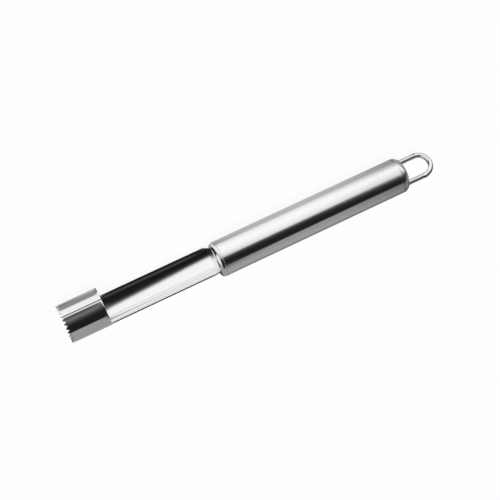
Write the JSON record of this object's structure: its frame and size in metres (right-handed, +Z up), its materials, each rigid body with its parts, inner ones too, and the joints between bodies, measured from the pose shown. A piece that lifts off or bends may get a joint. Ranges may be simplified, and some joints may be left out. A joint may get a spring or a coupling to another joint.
{
  "type": "apple corer",
  "caption": "Steel apple corer: rolled sheet blade with a toothed ring and open trough, tubular handle with rounded end caps, and a wire hanging loop.",
  "frame": {"origin": "middle of the bounding box, on the table that the corer lies on", "axes": "+X along the tool from the loop to the teeth, +Z up from the table, the blade's open side to -Y"},
  "size_m": [0.215, 0.029, 0.0208],
  "materials": {
    "polished_sheet": "polished stainless steel",
    "brushed_tube": "satin stainless steel, brushed round the tube",
    "polished_cap": "polished stainless steel",
    "brushed_cap": "satin stainless steel",
    "polished_wire": "polished stainless steel wire"
  },
  "bodies": {
    "root": {"corer_blade": "polished_sheet", "handle_tube": "brushed_tube", "front_cap": "polished_cap", "rear_cap": "brushed_cap", "hanging_loop": "polished_wire"}
  },
  "joints": []
}
